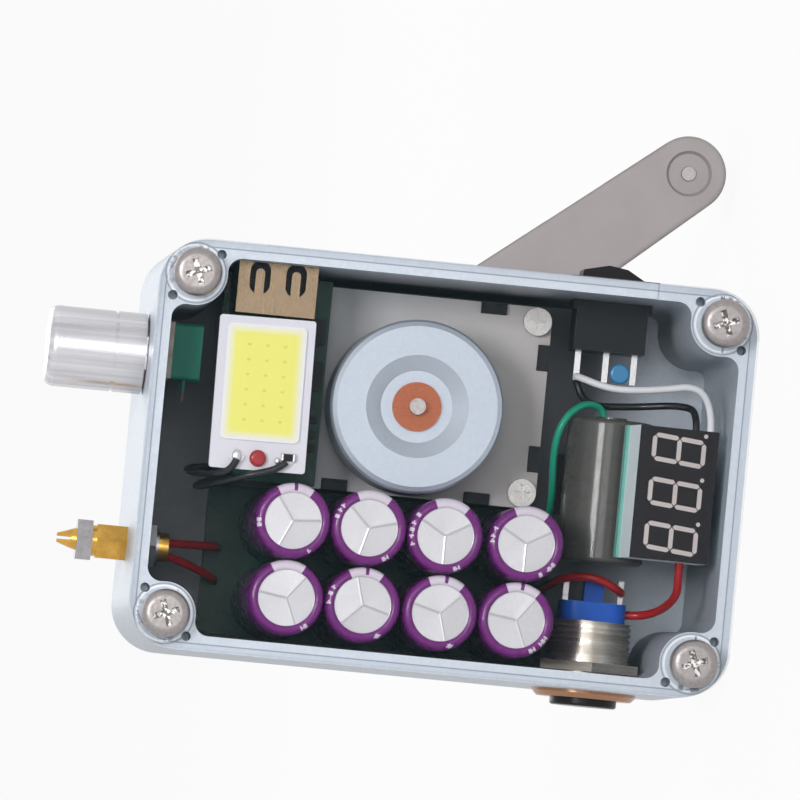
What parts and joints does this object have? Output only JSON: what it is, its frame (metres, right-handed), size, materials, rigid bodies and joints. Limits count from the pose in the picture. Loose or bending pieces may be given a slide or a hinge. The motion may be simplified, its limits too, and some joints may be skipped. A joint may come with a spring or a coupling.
{
  "type": "hand crank phone charger",
  "caption": "Hand crank generator in a metal box with a clear cover: gear train, outrunner generator, capacitor bank, USB sockets, lamp, display, knob and crank.",
  "frame": {"origin": "centre of the outer face of the plain end wall, which the charger stands on", "axes": "+Z along the box from the plain end wall to the wall with the knob; +Y from the clear cover into the box, towards the crank; +X across the box towards the wall with the USB sockets"},
  "size_m": [0.0988, 0.0797, 0.1166],
  "materials": {
    "diecast": "satin",
    "clear_acrylic": "gloss",
    "steel": "satin",
    "grey_plastic": "matte",
    "gear_plastic": "matte",
    "can_steel": "satin",
    "bronze": "satin",
    "magnet": "matte",
    "copper": "gloss",
    "brass": "satin",
    "arm_plastic": "matte",
    "black_plastic": "matte",
    "nickel": "gloss",
    "dark_green_plastic": "matte",
    "knob_aluminium": "polished",
    "white_plastic": "matte",
    "green_board": "gloss",
    "white_board": "gloss",
    "phosphor": "matte",
    "red_lens": "gloss",
    "can_aluminium": "satin",
    "purple_sleeve": "gloss",
    "blue_plastic": "satin",
    "button_cap_plastic": "gloss",
    "display_plastic": "satin",
    "teal_board": "gloss",
    "cell_sleeve": "satin",
    "white_cover": "satin",
    "green_cover": "satin",
    "black_cover": "satin",
    "red_cover": "satin"
  },
  "bodies": {
    "enclosure": {"enclosure_box": "diecast", "front_cover": "clear_acrylic", "cover_screws": "steel", "gearbox_housing": "grey_plastic", "gearbox_plate": "grey_plastic", "gearbox_screws": "steel", "gear_axles": "steel", "stator_core": "steel", "stator_coils": "copper", "stator_mount": "brass", "crank_bush": "bronze", "pot_bracket": "nickel", "pot_body": "dark_green_plastic", "pot_nut": "nickel", "post_body": "brass", "post_nut": "brass", "post_inner_nut": "brass", "post_collar": "nickel", "post_tag": "nickel", "usb_shell": "nickel", "usb_tongues": "white_plastic", "charger_board": "green_board", "charger_parts": "black_plastic", "cob_board": "white_board", "cob_lamp": "phosphor", "indicator_led": "red_lens", "lamp_posts": "white_plastic", "capacitor_cans": "can_aluminium", "capacitor_sleeves": "purple_sleeve", "capacitor_board": "green_board", "rocker_body": "black_plastic", "rocker_terminals": "nickel", "bead_capacitor": "blue_plastic", "button_barrel": "steel", "button_base": "blue_plastic", "button_pins": "brass", "button_nut": "steel", "display_case": "display_plastic", "display_board": "teal_board", "storage_cell": "cell_sleeve", "inner_bracket": "white_plastic", "white_wire": "white_cover", "green_wire": "green_cover", "black_wires": "black_cover", "red_wires": "red_cover"},
    "crank": {"crank_gear": "gear_plastic", "crank_arm": "arm_plastic", "crank_screw": "steel", "handle_pin": "steel"},
    "handle": {"handle_knob": "black_plastic"},
    "middle_wheel": {"middle_gear": "gear_plastic"},
    "last_wheel": {"last_gear": "gear_plastic"},
    "rotor": {"rotor_shaft": "steel", "rotor_can": "can_steel", "rotor_bush": "bronze", "magnet_ring": "magnet"},
    "knob": {"pot_shaft": "knob_aluminium", "control_knob": "knob_aluminium"},
    "button": {"button_cap": "button_cap_plastic"},
    "rocker_paddle": {"rocker": "black_plastic"}
  },
  "joints": [
    {"name": "crank_turn", "type": "hinge", "parent": "enclosure", "child": "crank", "pos_m": [0.0151, 0.025, 0.0582], "axis": [0, 1, 0], "continuous": true},
    {"name": "middle_turn", "type": "hinge", "parent": "enclosure", "child": "middle_wheel", "pos_m": [0.01719, 0, 0.04335], "axis": [0, 1, 0], "continuous": true},
    {"name": "last_turn", "type": "hinge", "parent": "enclosure", "child": "last_wheel", "pos_m": [0.00544, 0, 0.0458], "axis": [0, 1, 0], "continuous": true},
    {"name": "rotor_turn", "type": "hinge", "parent": "enclosure", "child": "rotor", "pos_m": [0.0102, 0, 0.0546], "axis": [0, 1, 0], "continuous": true},
    {"name": "handle_spin", "type": "hinge", "parent": "crank", "child": "handle", "pos_m": [0.05581, 0.03, 0.00882], "axis": [0, 1, 0], "continuous": true},
    {"name": "knob_turn", "type": "hinge", "parent": "enclosure", "child": "knob", "pos_m": [0.0148, -0.005, 0.1], "axis": [0, 0, 1], "range_deg": [-150, 150]},
    {"name": "button_press", "type": "slide", "parent": "enclosure", "child": "button", "axis": [1, 0, 0], "range_m": [0, 0.0012], "stiffness_N_per_m": 1000, "springref_m": -0.0008},
    {"name": "rocker_tilt", "type": "hinge", "parent": "enclosure", "child": "rocker_paddle", "pos_m": [0.0336, -0.001, 0.0228], "axis": [0, -1, 0], "range_deg": [0, 16]}
  ],
  "couplings": [
    {"joint": "middle_turn", "follows": "crank_turn", "ratio": -4},
    {"joint": "last_turn", "follows": "crank_turn", "ratio": 12},
    {"joint": "rotor_turn", "follows": "crank_turn", "ratio": -28}
  ]
}
